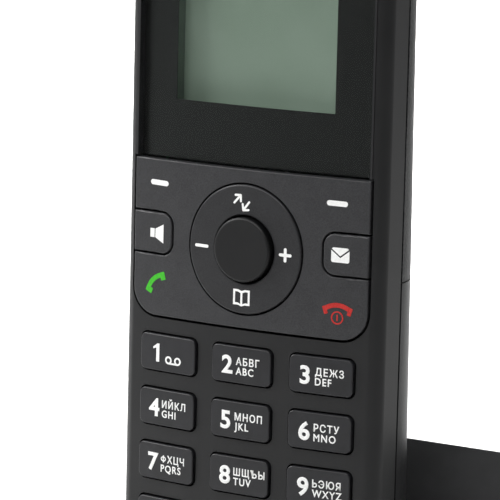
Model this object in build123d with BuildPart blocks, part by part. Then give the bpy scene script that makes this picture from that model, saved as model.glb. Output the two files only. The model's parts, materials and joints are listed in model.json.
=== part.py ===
from build123d import *
from math import cos, radians, sin, sqrt
import os

# A cordless phone handset standing in its charging base. Millimetres.
# The base frame: X across, -Y towards the user, +Z up, origin on the table
# under the middle of the base. The handset is drawn in its own frame: x across,
# y into the phone, z up along it, origin on its face in the middle of the
# navigation ring. The dock location then sets it in the base.

# Handset body
half_width = 24.0        # half of the handset's width
crown_radius = 160.6     # the face bulges forward a little
edge_round = 2.4         # rounding from the face into the sides
sharpest_edge = 0.3      # the same, at its smallest, inside the shell
seam_depth = 8.0         # front shell meets back shell and battery door
seam_groove = 0.45       # shadow line round that seam, its height and its reach inwards
seam_reach = 0.9
top_end = 77.0
bottom_end = -68.0
depth_top = 20.5         # thickness at the top end
depth_bottom = 28.0      # thickness at the bottom end
top_arch = 4.0           # how far the top end is arched
top_corner = 9.0
bottom_corner = 8.0
end_round_front = 6.0    # rounding of the ends, seen from the side
end_round_back = 8.0
foot_round_front = 2.5
foot_round_back = 3.5
wall = 2.0

# Dock: how the handset stands in the base
lean = 3.0               # degrees, leaning back
stand_front = -22.0      # y of the handset's front at its lower end
stand_height = 13.0      # height of the handset's lower end over the table
dock_gap = 0.5           # play round the handset in its pocket
pocket_floor = bottom_end - 0.4
pocket_wall = 1.8

# Keys
key_gap = 0.3            # slot round every cap
key_proud = 0.55
key_soften = 0.2
key_size = (11.04, 5.97)
key_corner = 1.0
key_columns = (-14.4, 0.0, 14.4)
key_row_top = -18.745    # centre of the first row
key_pitch = 9.03
lip_front = wall + 0.2   # a cap's lip lies behind the shell
lip_back = wall + 0.9
lip_reach = 0.7
stem_end = 5.0           # where each key's stem stops over its dome
mat_front = 6.2
mat_back = 7.2
boss_front = 5.6

# Function plate, ring and centre button
plate_half = 21.9
plate_top = 12.8
plate_bottom = -12.75
plate_corner = 4.5
plate_gap = 0.4
plate_proud = 0.2
plate_soften = 0.2
plate_back = 1.4
plate_opening = 9.4      # how deep its hole is cut, from 4 mm before the face
ring_outer = 10.4
ring_inner = 5.5
button_radius = 5.2
side_key = (14.2, 21.9, -2.5, 4.1)   # inner x, outer x, lower z, upper z
side_key_corner = 2.0
side_key_proud = 0.3
ring_proud = 0.45
button_proud = 1.3

rocker_front = 4.4       # the frames that the plate and the ring rock on
ring_back = 2.2

# Sound and screws
mic_height = -57.0
ringer_height = 40.0
screw_height = -57.0
screw_bore = 1.05
screw_seat = 15.5        # depth of the screw heads' seat

# Display
panel_half = 21.6
panel_bottom = 13.1
panel_top = 70.5
panel_corner = 6.0
trim_width = 0.4
lens_back = 1.1
mask_front = 1.22
mask_back = 1.4
window_half = 14.75
window_bottom = 22.7
window_top = 47.7
ear_height = 62.0        # z of the earpiece slot
lcd_front = 4.8
lcd_back = 6.6
board_front = 8.0
board_back = 9.2

# Battery bay
door_bottom = -48.0
door_top = -4.0
door_gap = 0.2
bay_front = 9.7
bay_floor = 10.7
cell_radius = 5.2
cell_offset = 5.5
cell_depth = 16.0

# Base
base_half_width = 44.0
base_half_depth = 46.0
base_top_half_width = 41.0
base_wall = 2.2
foot_height = 1.5
cover_top = 3.5
apron_foot = 7.0         # height of the low front edge
apron_back = -31.0       # y where the apron meets the platform
back_height = 18.0       # height of the upright back face
board_low = 4.7
board_high = 5.9
hump_depth = 34.0        # from the handset's face back to the hump's top edge
hump_rise = -35.0        # that edge's place along the handset
foot_depth = 31.3        # the same for the lower edge of the hump's face
foot_rise = -54.0
hump_soften = 1.0        # rounding of that edge
hump_corner = 9.0       # rounding of the hump's shoulders
plan_corner = 16.0
charge_x = 9.0
charge_y = 14.0
contact_length = 4.0
page_spot = (33.5, -12.0)
page_radius = 4.5
page_proud = 0.7
switch_top = 10.4
line_x = 14.0            # the line socket stands right of the middle, power left
socket_height = 10.6
socket_width = 9.7
socket_rise = 6.0
power_radius = 2.8

os.makedirs("parts", exist_ok=True)

dock_y = stand_front - bottom_end * sin(radians(lean))
dock_z = stand_height - bottom_end * cos(radians(lean))
dock = Plane(
    origin=(0, dock_y, dock_z),
    x_dir=(1, 0, 0),
    z_dir=(0, sin(radians(lean)), cos(radians(lean))),
).location


def docked(y, z):
    # Where a point of the handset's middle plane stands, as (y, z) in the base frame
    across = cos(radians(lean))
    along = sin(radians(lean))
    return dock_y + y * across + z * along, dock_z - y * along + z * across


def save(piece, label, place=Location()):
    piece.part.label = label
    export_step(piece.part.moved(place), f"parts/{label}.step")


def depth_at(z):
    share = (z - bottom_end) / (top_end - bottom_end)
    return depth_bottom + share * (depth_top - depth_bottom)


def face_line(inset):
    # The bulging face seen from above, and the straight sides down to the seam
    side = half_width - inset
    edge = crown_radius - sqrt((crown_radius - inset) ** 2 - side**2)
    Line((-side, seam_depth), (-side, edge))
    ThreePointArc((-side, edge), (0, inset), (side, edge))
    Line((side, edge), (side, seam_depth))


def round_edges(section, inset):
    # Rounds the two front corners of a section through the handset
    fillet(section.vertices().group_by(Axis.Y)[0], max(edge_round - inset, sharpest_edge))


def end_outline(inset):
    # The handset seen from the front
    side = half_width - inset
    low = bottom_end + inset
    shoulder = top_end - top_arch - inset
    with BuildSketch(Plane.XZ) as outline:
        with BuildLine():
            Polyline((side, shoulder), (side, low), (-side, low), (-side, shoulder))
            ThreePointArc((-side, shoulder), (0, top_end - inset), (side, shoulder))
        make_face()
        fillet(outline.vertices().group_by(Axis.Y)[-1], top_corner - inset)
        fillet(outline.vertices().group_by(Axis.Y)[0], bottom_corner - inset)
    return outline.sketch


def side_outline(inset):
    # The handset seen from the side, its ends rounded; it stands a little clear
    # of the face and the back, so that it only trims the ends
    clear = 0.6
    with BuildSketch(Plane.YZ) as outline:
        Polygon(
            (-clear, bottom_end),
            (-clear, top_end + clear),
            (depth_top + clear, top_end + clear),
            (depth_bottom + clear, bottom_end),
            align=None,
        )
        upper = outline.vertices().group_by(Axis.Y)[-1].sort_by(Axis.X)
        lower = outline.vertices().group_by(Axis.Y)[0].sort_by(Axis.X)
        fillet(upper[0], end_round_front)
        fillet(upper[1], end_round_back)
        fillet(lower[0], foot_round_front)
        fillet(lower[1], foot_round_back)
        if inset:
            offset(amount=-inset)
    return outline.sketch


def front_half(inset):
    side = half_width - inset
    with BuildPart() as half:
        with BuildSketch(Plane.XY.offset(bottom_end + inset)) as section:
            with BuildLine():
                face_line(inset)
                Line((side, seam_depth), (-side, seam_depth))
            make_face()
            round_edges(section, inset)
        extrude(amount=top_end - bottom_end - 2 * inset)
        extrude(end_outline(inset), amount=60, both=True, mode=Mode.INTERSECT)
        extrude(side_outline(inset), amount=60, both=True, mode=Mode.INTERSECT)
    return half.part


def back_half(inset):
    side = half_width - inset
    with BuildPart() as half:
        for z in (bottom_end + inset, top_end - inset):
            with BuildSketch(Plane.XY.offset(z)):
                with BuildLine():
                    reach = depth_at(z) - seam_depth - inset
                    EllipticalCenterArc((0, seam_depth), side, reach, arc_size=180)
                    Line((side, seam_depth), (-side, seam_depth))
                make_face()
        loft()
        extrude(end_outline(inset), amount=60, both=True, mode=Mode.INTERSECT)
        extrude(side_outline(inset), amount=60, both=True, mode=Mode.INTERSECT)
    return half.part


def pocket_form(inset, low, high):
    # The handset's foot as a straight prism, for the pocket that holds it
    side = half_width - inset
    with BuildPart() as form:
        with BuildSketch(Plane.XY.offset(low)) as section:
            with BuildLine():
                face_line(inset)
                reach = depth_bottom - seam_depth - inset
                EllipticalCenterArc((0, seam_depth), side, reach, arc_size=180)
            make_face()
            round_edges(section, inset)
        extrude(amount=high - low)
    return form.part


def front_plane(y):
    # A plane facing the user at depth y; its own x is x and its y is z
    return Plane.XZ.offset(-y)


outer_front = front_half(0)
outer_back = back_half(0)
inner_front = front_half(wall)
inner_back = back_half(wall)
raised_face = front_half(-key_proud)
lip_face = front_half(lip_front)
lip_rear = front_half(lip_back)
lens_rear = front_half(lens_back)
mask_rear = front_half(mask_back)
plate_rear = front_half(plate_back)


def plate_outline(grow):
    # The function plate without its holes
    with BuildSketch(front_plane(-4)) as outline:
        with Locations((0, (plate_top + plate_bottom) / 2)):
            Rectangle(2 * (plate_half + grow), plate_top - plate_bottom + 2 * grow)
        fillet(outline.vertices().group_by(Axis.Y)[0], plate_corner + grow)
    return outline.sketch


def panel_outline(grow):
    with BuildSketch(front_plane(-4)) as outline:
        with Locations((0, (panel_top + panel_bottom) / 2)):
            Rectangle(2 * (panel_half + grow), panel_top - panel_bottom + 2 * grow)
        fillet(outline.vertices().group_by(Axis.Y)[-1], panel_corner + grow)
    return outline.sketch


def side_key_outline(side, grow):
    inner, outer, low, high = side_key
    with BuildSketch(front_plane(-4)) as outline:
        with Locations((side * (inner + outer) / 2, (low + high) / 2)):
            Rectangle(outer - inner + 2 * grow, high - low + 2 * grow)
        near = outline.vertices().sort_by(Axis.X)
        if side > 0:
            fillet(near[:2], side_key_corner + grow)
        else:
            fillet(near[2:], side_key_corner + grow)
    return outline.sketch


key_rows = [key_row_top - key_pitch * row for row in range(4)]
key_names = (
    ("key_1", "key_2", "key_3"),
    ("key_4", "key_5", "key_6"),
    ("key_7", "key_8", "key_9"),
    ("key_star", "key_0", "key_hash"),
)
key_spots = [(x, z) for z in key_rows for x in key_columns]
screw_spots = [(x, screw_height) for x in (-14.0, 14.0)]


def charge_slots(grow):
    # The two charging contacts, looking along the handset
    with BuildSketch(Plane.XY.offset(bottom_end - 6)) as slots:
        with Locations((-charge_x, charge_y), (charge_x, charge_y)):
            Rectangle(5 + 2 * grow, 3 + 2 * grow)
    return slots.sketch


# Front shell
with BuildPart() as recess:
    extrude(panel_outline(trim_width + 0.05), amount=-12)
    add(front_half(mask_back + 0.05), mode=Mode.SUBTRACT)

with BuildPart() as front_shell:
    add(outer_front)
    add(inner_front, mode=Mode.SUBTRACT)
    add(recess.part, mode=Mode.SUBTRACT)
    extrude(plate_outline(plate_gap), amount=-plate_opening, mode=Mode.SUBTRACT)
    with BuildSketch(front_plane(-4)):
        with Locations((0, (window_bottom + window_top) / 2)):
            Rectangle(37.6, 31.6)
        with Locations((0, ear_height)):
            SlotOverall(15, 3)
        with Locations(*key_spots):
            RectangleRounded(key_size[0] + 2 * key_gap, key_size[1] + 2 * key_gap, key_corner + key_gap)
        with Locations((0, mic_height)):
            SlotOverall(3.2, 1.2)
    extrude(amount=-10, mode=Mode.SUBTRACT)
    # bosses that the two screws bite into
    with BuildSketch(front_plane(wall - 0.5)):
        with Locations(*screw_spots):
            Circle(2.8)
    extrude(amount=-6.3)
    with BuildSketch(front_plane(wall + 0.6)):
        with Locations(*screw_spots):
            Circle(screw_bore)
    extrude(amount=-8, mode=Mode.SUBTRACT)
save(front_shell, "front_shell", dock)

# The shadow line round the seam, cut from the back shell and the battery door
with BuildPart() as shadow_line:
    with Locations((0, seam_depth + seam_groove / 2, 0)):
        Box(60, seam_groove, 200)
    add(back_half(seam_reach), mode=Mode.SUBTRACT)

# Back shell, with the end walls and the floor of the battery bay
bay_middle = (0, bay_front, (door_bottom + door_top) / 2)
bay_length = door_top - door_bottom
from_front = (Align.CENTER, Align.MIN, Align.CENTER)

with BuildPart() as bay_ends:
    with Locations(bay_middle):
        Box(60, 20, bay_length + 4, align=from_front)
        Box(60, 20, bay_length + 2 * door_gap, align=from_front, mode=Mode.SUBTRACT)
    add(back_half(wall / 2), mode=Mode.INTERSECT)

with BuildPart() as bay_plate:
    with Locations(bay_middle):
        Box(60, bay_floor - bay_front, bay_length + 4, align=from_front)
    add(back_half(wall + 0.3), mode=Mode.INTERSECT)

with BuildPart() as screw_towers:
    with BuildSketch(front_plane(seam_depth + 0.4)):
        with Locations(*screw_spots):
            Circle(3.6)
    extrude(amount=-depth_bottom)
    add(back_half(wall / 2), mode=Mode.INTERSECT)

with BuildPart() as back_shell:
    add(outer_back)
    add(inner_back, mode=Mode.SUBTRACT)
    with Locations((0, seam_depth, bay_middle[2])):
        Box(60, 60, bay_length + 2 * door_gap, mode=Mode.SUBTRACT)
    add(bay_ends.part)
    add(bay_plate.part)
    add(screw_towers.part)
    with BuildSketch(front_plane(seam_depth)):
        with Locations(*screw_spots):
            Circle(1.4)
    extrude(amount=-20, mode=Mode.SUBTRACT)
    with BuildSketch(front_plane(screw_seat)):
        with Locations(*screw_spots):
            Circle(2.7)
    extrude(amount=-20, mode=Mode.SUBTRACT)
    # slots over the ringer speaker
    with BuildSketch(front_plane(15)):
        with Locations((0, ringer_height)):
            with GridLocations(1, 2.6, 1, 5):
                SlotOverall(13, 1.2)
    extrude(amount=-20, mode=Mode.SUBTRACT)
    add(shadow_line.part, mode=Mode.SUBTRACT)
    # the charging plates show through its lower end
    extrude(charge_slots(0.05), amount=6 + 2.5, mode=Mode.SUBTRACT)
save(back_shell, "back_shell", dock)

# Battery door: the skin between those walls, with ridges for the thumb
with BuildPart() as ridges:
    with BuildSketch(front_plane(depth_bottom - 6)):
        with Locations((0, door_top - 7)):
            with GridLocations(1, 1.8, 1, 4):
                SlotOverall(15, 0.9)
    extrude(amount=-10)
    add(back_half(-0.35), mode=Mode.INTERSECT)

with BuildPart() as battery_door:
    add(outer_back)
    add(inner_back, mode=Mode.SUBTRACT)
    with Locations((0, seam_depth, bay_middle[2])):
        Box(60, 60, bay_length, mode=Mode.INTERSECT)
    add(ridges.part)
    add(inner_back, mode=Mode.SUBTRACT)
    add(shadow_line.part, mode=Mode.SUBTRACT)
save(battery_door, "battery_door", dock)

# Display: trim, clear lens, printed mask behind it, frame, glass and light guide
with BuildPart() as panel_trim:
    extrude(panel_outline(trim_width), amount=-12)
    extrude(panel_outline(0.03), amount=-12, mode=Mode.SUBTRACT)
    add(front_half(-0.1), mode=Mode.INTERSECT)
    add(mask_rear, mode=Mode.SUBTRACT)
    with Locations((0, 0, panel_bottom)):
        Box(60, 60, 20, align=(Align.CENTER, Align.CENTER, Align.MAX), mode=Mode.SUBTRACT)
save(panel_trim, "panel_trim", dock)

with BuildPart() as display_lens:
    extrude(panel_outline(-0.03), amount=-12)
    add(outer_front, mode=Mode.INTERSECT)
    add(lens_rear, mode=Mode.SUBTRACT)
    with BuildSketch(front_plane(-4)):
        with Locations((0, ear_height)):
            SlotOverall(13, 1.8)
    extrude(amount=-10, mode=Mode.SUBTRACT)
save(display_lens, "display_lens", dock)

with BuildPart() as display_mask:
    extrude(panel_outline(-0.1), amount=-12)
    add(front_half(mask_front), mode=Mode.INTERSECT)
    add(mask_rear, mode=Mode.SUBTRACT)
    with BuildSketch(front_plane(-4)):
        with Locations((0, (window_bottom + window_top) / 2)):
            Rectangle(2 * window_half, window_top - window_bottom)
        with Locations((0, ear_height)):
            SlotOverall(13, 1.8)
    extrude(amount=-10, mode=Mode.SUBTRACT)
save(display_mask, "display_mask", dock)

with BuildPart() as lcd_frame:
    with BuildSketch(front_plane(-1)):
        with Locations((0, (window_bottom + window_top) / 2)):
            Rectangle(36.6, 30.6)
            Rectangle(2 * window_half + 1, window_top - window_bottom + 1, mode=Mode.SUBTRACT)
    extrude(amount=-(lcd_front + 0.95))
    add(front_half(mask_back + 0.05), mode=Mode.INTERSECT)
save(lcd_frame, "lcd_frame", dock)

with BuildPart() as lcd_glass:
    with BuildSketch(front_plane(lcd_front)):
        with Locations((0, (window_bottom + window_top) / 2)):
            Rectangle(36, 30)
    extrude(amount=-(lcd_back - lcd_front))
save(lcd_glass, "lcd_glass", dock)

with BuildPart() as light_guide:
    with BuildSketch(front_plane(lcd_back + 0.05)):
        with Locations((0, (window_bottom + window_top) / 2)):
            Rectangle(36, 30)
        with Locations((0, window_top + 3.3)):
            Rectangle(12, 2, mode=Mode.SUBTRACT)
    extrude(amount=-1.2)
save(light_guide, "light_guide", dock)

# Handset board, with holes for the screws
with BuildPart() as handset_board:
    with BuildSketch(front_plane(board_front)):
        with Locations((0, 2)):
            RectangleRounded(41, 128, 5)
        with Locations(*screw_spots):
            Circle(3.9, mode=Mode.SUBTRACT)
    extrude(amount=-(board_back - board_front))
save(handset_board, "handset_board", dock)

with BuildPart() as handset_shield:
    with BuildSketch(front_plane(board_back)):
        with Locations((0, 18)):
            Rectangle(26, 20)
    extrude(amount=-2.2)
    fillet(handset_shield.edges().filter_by(Axis.Y), 0.8)
save(handset_shield, "handset_shield", dock)

with BuildPart() as handset_antenna:
    with BuildSketch(front_plane(board_back)):
        with Locations((0, 62)):
            Rectangle(30, 5)
            Rectangle(27, 2.4, mode=Mode.SUBTRACT)
    extrude(amount=-0.6)
    with BuildSketch(front_plane(board_back)):
        with Locations((-12, 58)):
            Rectangle(2, 4)
    extrude(amount=-0.6)
save(handset_antenna, "handset_antenna", dock)

# Silicone key mat with a dome over every switch
with BuildPart() as key_mat:
    with BuildSketch(front_plane(mat_front)):
        with Locations((0, -18.5)):
            RectangleRounded(40, 64, 4)
    extrude(amount=-(mat_back - mat_front))
    with BuildSketch(front_plane(boss_front)):
        with Locations(*key_spots, (0, 0), (-18, 0.8), (18, 0.8)):
            Circle(2.2)
    extrude(amount=-(mat_front - boss_front))
save(key_mat, "key_mat", dock)


def cap_solid(outline, proud_form, rear, soft):
    # A key cap cut to the face's bulge, its edges softened
    with BuildPart() as cap:
        extrude(outline, amount=-14)
        add(proud_form, mode=Mode.INTERSECT)
        add(rear, mode=Mode.SUBTRACT)
        fillet(cap.faces().sort_by(Axis.Y)[0].edges(), soft)
    return cap.part


# Twelve number keys
number_blank = []
for x in key_columns:
    with BuildSketch(front_plane(-4)) as outline:
        with Locations((x, key_rows[0])):
            RectangleRounded(*key_size, key_corner)
    cap = cap_solid(outline.sketch, raised_face, lip_rear, key_soften)
    with BuildSketch(front_plane(-4)) as lip:
        with Locations((x, key_rows[0])):
            RectangleRounded(key_size[0] + 2 * lip_reach, key_size[1] + 2 * lip_reach, 1.4)
    with BuildPart() as blank:
        extrude(lip.sketch, amount=-14)
        add(lip_face, mode=Mode.INTERSECT)
        add(lip_rear, mode=Mode.SUBTRACT)
        add(cap)
        with BuildSketch(front_plane(stem_end)):
            with Locations((x, key_rows[0])):
                Circle(1.5)
        extrude(amount=stem_end - lip_back + 0.4)
    number_blank.append(blank.part)

for row, names in enumerate(key_names):
    for column, name in enumerate(names):
        with BuildPart() as number_key:
            add(number_blank[column].moved(Location((0, 0, -key_pitch * row))))
        save(number_key, name, dock)

# Function plate: one cap with four corners to press, over its rocking frame
with BuildPart() as plate_holes:
    with BuildSketch(front_plane(-4)):
        Circle(ring_outer + key_gap)
    extrude(amount=-14)
    for side in (-1, 1):
        extrude(side_key_outline(side, key_gap), amount=-14)
        with BuildSketch(front_plane(-4)):
            with Locations((side * (plate_half - 1), (side_key[2] + side_key[3]) / 2)):
                Rectangle(4, side_key[3] - side_key[2] + 2 * key_gap)
        extrude(amount=-14)

with BuildPart() as function_plate:
    extrude(plate_outline(0), amount=-14)
    add(front_half(-plate_proud), mode=Mode.INTERSECT)
    add(plate_rear, mode=Mode.SUBTRACT)
    add(plate_holes.part, mode=Mode.SUBTRACT)
    fillet(function_plate.faces().sort_by(Axis.Y)[0].outer_wire().edges(), plate_soften)
    with BuildSketch(front_plane(rocker_front - 0.05)):
        with Locations((0, 12), (0, -12)):
            Circle(0.7)
    extrude(amount=rocker_front - plate_back)
save(function_plate, "function_plate", dock)

with BuildPart() as plate_rocker:
    with BuildSketch(front_plane(rocker_front)):
        Circle(13.2)
        Circle(11.4, mode=Mode.SUBTRACT)
    extrude(amount=-0.7)
save(plate_rocker, "plate_rocker", dock)

for side, name in ((-1, "speaker_key"), (1, "message_key")):
    with BuildPart() as side_cap:
        add(cap_solid(side_key_outline(side, 0), front_half(-side_key_proud), plate_rear, 0.25))
        with BuildSketch(front_plane(stem_end)):
            with Locations((side * 17.5, 0.8)):
                Circle(1.3)
        extrude(amount=stem_end - plate_back - 0.8)
    save(side_cap, name, dock)

# Navigation ring over its rocker, and the button in its middle
with BuildSketch(front_plane(-4)) as ring_outline:
    Circle(ring_outer)
    Circle(ring_inner, mode=Mode.SUBTRACT)

with BuildPart() as nav_ring:
    extrude(ring_outline.sketch, amount=-14)
    add(front_half(-ring_proud), mode=Mode.INTERSECT)
    with BuildSketch(front_plane(ring_back)):
        Rectangle(60, 60)
    extrude(amount=-20, mode=Mode.SUBTRACT)
    fillet(nav_ring.faces().sort_by(Axis.Y)[0].edges(), 0.3)
    with BuildSketch(front_plane(rocker_front - 0.05)):
        with Locations((0, 8), (0, -8)):
            Circle(0.7)
    extrude(amount=rocker_front - ring_back)
save(nav_ring, "nav_ring", dock)

with BuildPart() as ring_rocker:
    with BuildSketch(front_plane(rocker_front)):
        Circle(9.4)
        Circle(6.6, mode=Mode.SUBTRACT)
    extrude(amount=-0.7)
save(ring_rocker, "ring_rocker", dock)

with BuildPart() as ok_button:
    with BuildSketch(front_plane(ring_back)):
        Circle(button_radius)
    extrude(amount=ring_back + button_proud)
    fillet(ok_button.faces().sort_by(Axis.Y)[0].edges(), 0.45)
    with BuildSketch(front_plane(stem_end)):
        Circle(2)
    extrude(amount=stem_end - ring_back)
save(ok_button, "ok_button", dock)

# Sound
with BuildPart() as receiver_mesh:
    with BuildSketch(front_plane(-4)):
        with Locations((0, ear_height)):
            SlotOverall(14.4, 2.6)
    extrude(amount=-14)
    add(front_half(mask_back + 0.1), mode=Mode.INTERSECT)
    add(front_half(mask_back + 0.4), mode=Mode.SUBTRACT)
save(receiver_mesh, "receiver_mesh", dock)

with BuildPart() as receiver:
    with BuildSketch(front_plane(wall + 0.4)):
        with Locations((0, ear_height)):
            Circle(6.5)
    extrude(amount=-4)
    fillet(receiver.edges().sort_by(Axis.Y)[0], 0.6)
save(receiver, "receiver", dock)

with BuildPart() as ringer_speaker:
    with BuildSketch(front_plane(12)):
        with Locations((0, ringer_height)):
            Circle(6)
    extrude(amount=-2.5)
    with BuildSketch(front_plane(14.5)):
        with Locations((0, ringer_height)):
            Circle(8.5)
    extrude(amount=-2.5)
save(ringer_speaker, "ringer_speaker", dock)

with BuildPart() as microphone:
    with BuildSketch(front_plane(wall + 0.2)):
        with Locations((0, mic_height)):
            Circle(3)
    extrude(amount=-2.5)
save(microphone, "microphone", dock)

# Two cells side by side, one each way up, and the contact plates at their ends
for side, name in ((-1, "cell_left"), (1, "cell_right")):
    with BuildPart() as cell:
        with BuildSketch(Plane.XY.offset(bay_middle[2] - bay_length / 2 + 0.5)):
            with Locations((side * cell_offset, cell_depth)):
                Circle(cell_radius)
        extrude(amount=bay_length - 2.2)
        fillet(cell.edges().filter_by(GeomType.CIRCLE), 0.5)
        nub = Plane.XY.offset(door_top - 1.7) if side > 0 else Plane.XY.offset(door_bottom + 0.5)
        with BuildSketch(nub):
            with Locations((side * cell_offset, cell_depth)):
                Circle(1.9)
        extrude(amount=0.9 if side > 0 else -0.3)
    save(cell, name, dock)

with BuildPart() as cell_contacts:
    for z in (door_top - 0.5, door_bottom - 0.2):
        with BuildSketch(Plane.XY.offset(z)):
            with Locations((-cell_offset, cell_depth - 0.4), (cell_offset, cell_depth - 0.4)):
                RectangleRounded(8, 8.5, 1)
        extrude(amount=0.3)
save(cell_contacts, "cell_contacts", dock)

with BuildPart() as charge_plates:
    extrude(charge_slots(-0.1), amount=6 + 1)
    with Locations((0, 0, bottom_end + 0.4)):
        Box(60, 60, 20, align=(Align.CENTER, Align.CENTER, Align.MAX), mode=Mode.SUBTRACT)
save(charge_plates, "charge_plates", dock)

with BuildPart() as handset_screws:
    with BuildSketch(front_plane(screw_seat - 0.02)):
        with Locations(*screw_spots):
            Circle(1.0)
    extrude(amount=screw_seat - wall - 1)
    with BuildSketch(front_plane(screw_seat + 0.02)):
        with Locations(*screw_spots):
            Circle(2.3)
    extrude(amount=-1.5)
    with BuildSketch(front_plane(screw_seat + 0.9)):
        with Locations(*screw_spots):
            Rectangle(2.6, 0.6)
            Rectangle(0.6, 2.6)
    extrude(amount=-1.5, mode=Mode.SUBTRACT)
save(handset_screws, "handset_screws", dock)


# Charging base
foot_y, foot_z = docked(foot_depth, foot_rise)
hump_y, hump_z = docked(hump_depth, hump_rise)


def base_block(inset):
    # The base's outside moved inwards by inset, open at the bottom
    with BuildPart() as block:
        with BuildSketch(Plane.YZ) as side_view:
            Polygon(
                (-base_half_depth, -20),
                (-base_half_depth, apron_foot),
                (apron_back, foot_z),
                (foot_y, foot_z),
                (hump_y, hump_z),
                (base_half_depth, back_height),
                (base_half_depth, -20),
                align=None,
            )
            upper = side_view.vertices().filter_by(lambda v: v.Z > 0)
            fillet(upper.filter_by(lambda v: v.Z < hump_z - 1), 3.5)
            fillet(side_view.vertices().sort_by(Axis.Z)[-1], hump_soften)
            if inset:
                offset(amount=-inset)
        extrude(amount=80, both=True)
        with BuildSketch(Plane.XZ) as front_view:
            Polygon(
                (-base_half_width, 0),
                (-base_top_half_width, hump_z + 0.6),
                (base_top_half_width, hump_z + 0.6),
                (base_half_width, 0),
                (base_half_width, -20),
                (-base_half_width, -20),
                align=None,
            )
            fillet(front_view.vertices().group_by(Axis.Z)[-1], hump_corner)
            if inset:
                offset(amount=-inset)
        extrude(amount=80, both=True, mode=Mode.INTERSECT)
        with BuildSketch(Plane.XY.offset(cover_top)):
            RectangleRounded(
                2 * (base_half_width - inset), 2 * (base_half_depth - inset), plan_corner - inset
            )
        extrude(amount=80, mode=Mode.INTERSECT)
    return block.part


base_outer = base_block(0)
base_inner = base_block(base_wall)
base_bosses = [(x, y) for x in (-35, 35) for y in (-24, 24)]

with BuildPart() as pocket_block:
    add(pocket_form(-dock_gap - pocket_wall, pocket_floor - pocket_wall, foot_rise + 8).moved(dock))
    add(base_block(base_wall / 2), mode=Mode.INTERSECT)

with BuildPart() as base_pillars:
    with BuildSketch(Plane.XY.offset(board_high + 0.3)):
        with Locations(*base_bosses):
            Circle(3)
    extrude(amount=60)
    add(base_block(base_wall / 2), mode=Mode.INTERSECT)

with BuildPart() as base_housing:
    add(base_outer)
    add(base_inner, mode=Mode.SUBTRACT)
    add(pocket_block.part)
    add(base_pillars.part)
    add(pocket_form(-dock_gap, pocket_floor, foot_rise + 40).moved(dock), mode=Mode.SUBTRACT)
    add(extrude(charge_slots(0.3), amount=8, mode=Mode.PRIVATE).moved(dock), mode=Mode.SUBTRACT)
    with BuildSketch(Plane.XY):
        with Locations(*base_bosses):
            Circle(1.25)
    extrude(amount=13, mode=Mode.SUBTRACT)
    with BuildSketch(Plane.XY.offset(foot_z - 10)):
        with Locations(page_spot):
            Circle(page_radius + 0.3)
    extrude(amount=20, mode=Mode.SUBTRACT)
    # openings of the two sockets in the back
    with BuildSketch(Plane.XZ.offset(-base_half_depth - 5)):
        with Locations((line_x, socket_height)):
            Rectangle(socket_width + 0.6, socket_rise + 0.6)
        with Locations((-line_x, socket_height)):
            Circle(power_radius + 0.9)
    extrude(amount=12, mode=Mode.SUBTRACT)
save(base_housing, "base_housing")

with BuildPart() as base_cover:
    with BuildSketch(Plane.XY.offset(foot_height)):
        RectangleRounded(2 * base_half_width, 2 * base_half_depth, plan_corner)
    extrude(amount=cover_top - foot_height)
    chamfer(base_cover.edges().group_by(Axis.Z)[0], 0.6)
    with BuildSketch(Plane.XY.offset(cover_top)):
        with Locations(*base_bosses):
            Circle(3.6)
    extrude(amount=board_low - cover_top - 0.02)
    with BuildSketch(Plane.XY):
        with Locations(*base_bosses):
            Circle(1.5)
    extrude(amount=20, mode=Mode.SUBTRACT)
    with BuildSketch(Plane.XY):
        with Locations(*base_bosses):
            Circle(2.9)
    extrude(amount=cover_top - 0.2, mode=Mode.SUBTRACT)
    # vents under the board
    with BuildSketch(Plane.XY):
        with Locations((0, 0)):
            with GridLocations(4, 1, 7, 1):
                SlotOverall(16, 1.6, rotation=90)
    extrude(amount=20, mode=Mode.SUBTRACT)
save(base_cover, "base_cover")

with BuildPart() as base_screws:
    with BuildSketch(Plane.XY.offset(cover_top - 0.2 - 1.3)):
        with Locations(*base_bosses):
            Circle(2.5)
    extrude(amount=1.28)
    with BuildSketch(Plane.XY.offset(cover_top - 0.3)):
        with Locations(*base_bosses):
            Circle(1.2)
    extrude(amount=9)
    with BuildSketch(Plane.XY.offset(cover_top - 0.2 - 1.3)):
        with Locations(*base_bosses):
            Rectangle(2.8, 0.6)
            Rectangle(0.6, 2.8)
    extrude(amount=0.7, mode=Mode.SUBTRACT)
save(base_screws, "base_screws")

with BuildPart() as rubber_feet:
    with BuildSketch():
        with GridLocations(72, 70, 2, 2):
            Circle(5)
    extrude(amount=foot_height)
    chamfer(rubber_feet.edges().group_by(Axis.Z)[0], 0.4)
save(rubber_feet, "rubber_feet")

with BuildPart() as base_board:
    with BuildSketch(Plane.XY.offset(board_low)):
        RectangleRounded(78, 80, 6)
        with Locations(*base_bosses):
            Circle(1.6, mode=Mode.SUBTRACT)
    extrude(amount=board_high - board_low)
save(base_board, "base_board")

with BuildPart() as base_shield:
    with BuildSketch(Plane.XY.offset(board_high)):
        with Locations((-24, 6)):
            RectangleRounded(16, 22, 1)
    extrude(amount=3)
    fillet(base_shield.edges().group_by(Axis.Z)[-1], 0.5)
save(base_shield, "base_shield")

with BuildPart() as base_antenna:
    with BuildSketch(Plane.XY.offset(board_high)):
        with Locations((0, 30)):
            Rectangle(1.2, 0.6)
        with Locations((22, 20)):
            Rectangle(1.2, 0.6)
    extrude(amount=16)
save(base_antenna, "base_antenna")

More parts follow.
